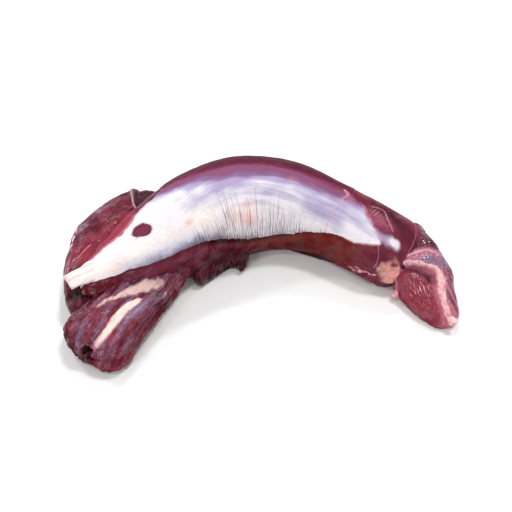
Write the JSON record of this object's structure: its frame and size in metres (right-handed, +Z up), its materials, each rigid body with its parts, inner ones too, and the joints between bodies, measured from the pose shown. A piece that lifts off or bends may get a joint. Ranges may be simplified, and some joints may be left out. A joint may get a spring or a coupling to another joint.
{
  "type": "raw beef tenderloin",
  "caption": "Whole untrimmed beef tenderloin lying in an arch, with its sinew sheath on the outside, a split head, a side strip and a cut tail.",
  "frame": {"origin": "middle of the bounding box, on the plane that the meat rests on", "axes": "+X along the long span from the head to the tail, +Y towards the outside of the bend, +Z up"},
  "size_m": [0.3596, 0.2221, 0.0821],
  "materials": {
    "meat": "wet raw muscle under a pearly sheath"
  },
  "bodies": {
    "root": {"tenderloin": "meat"}
  },
  "joints": []
}
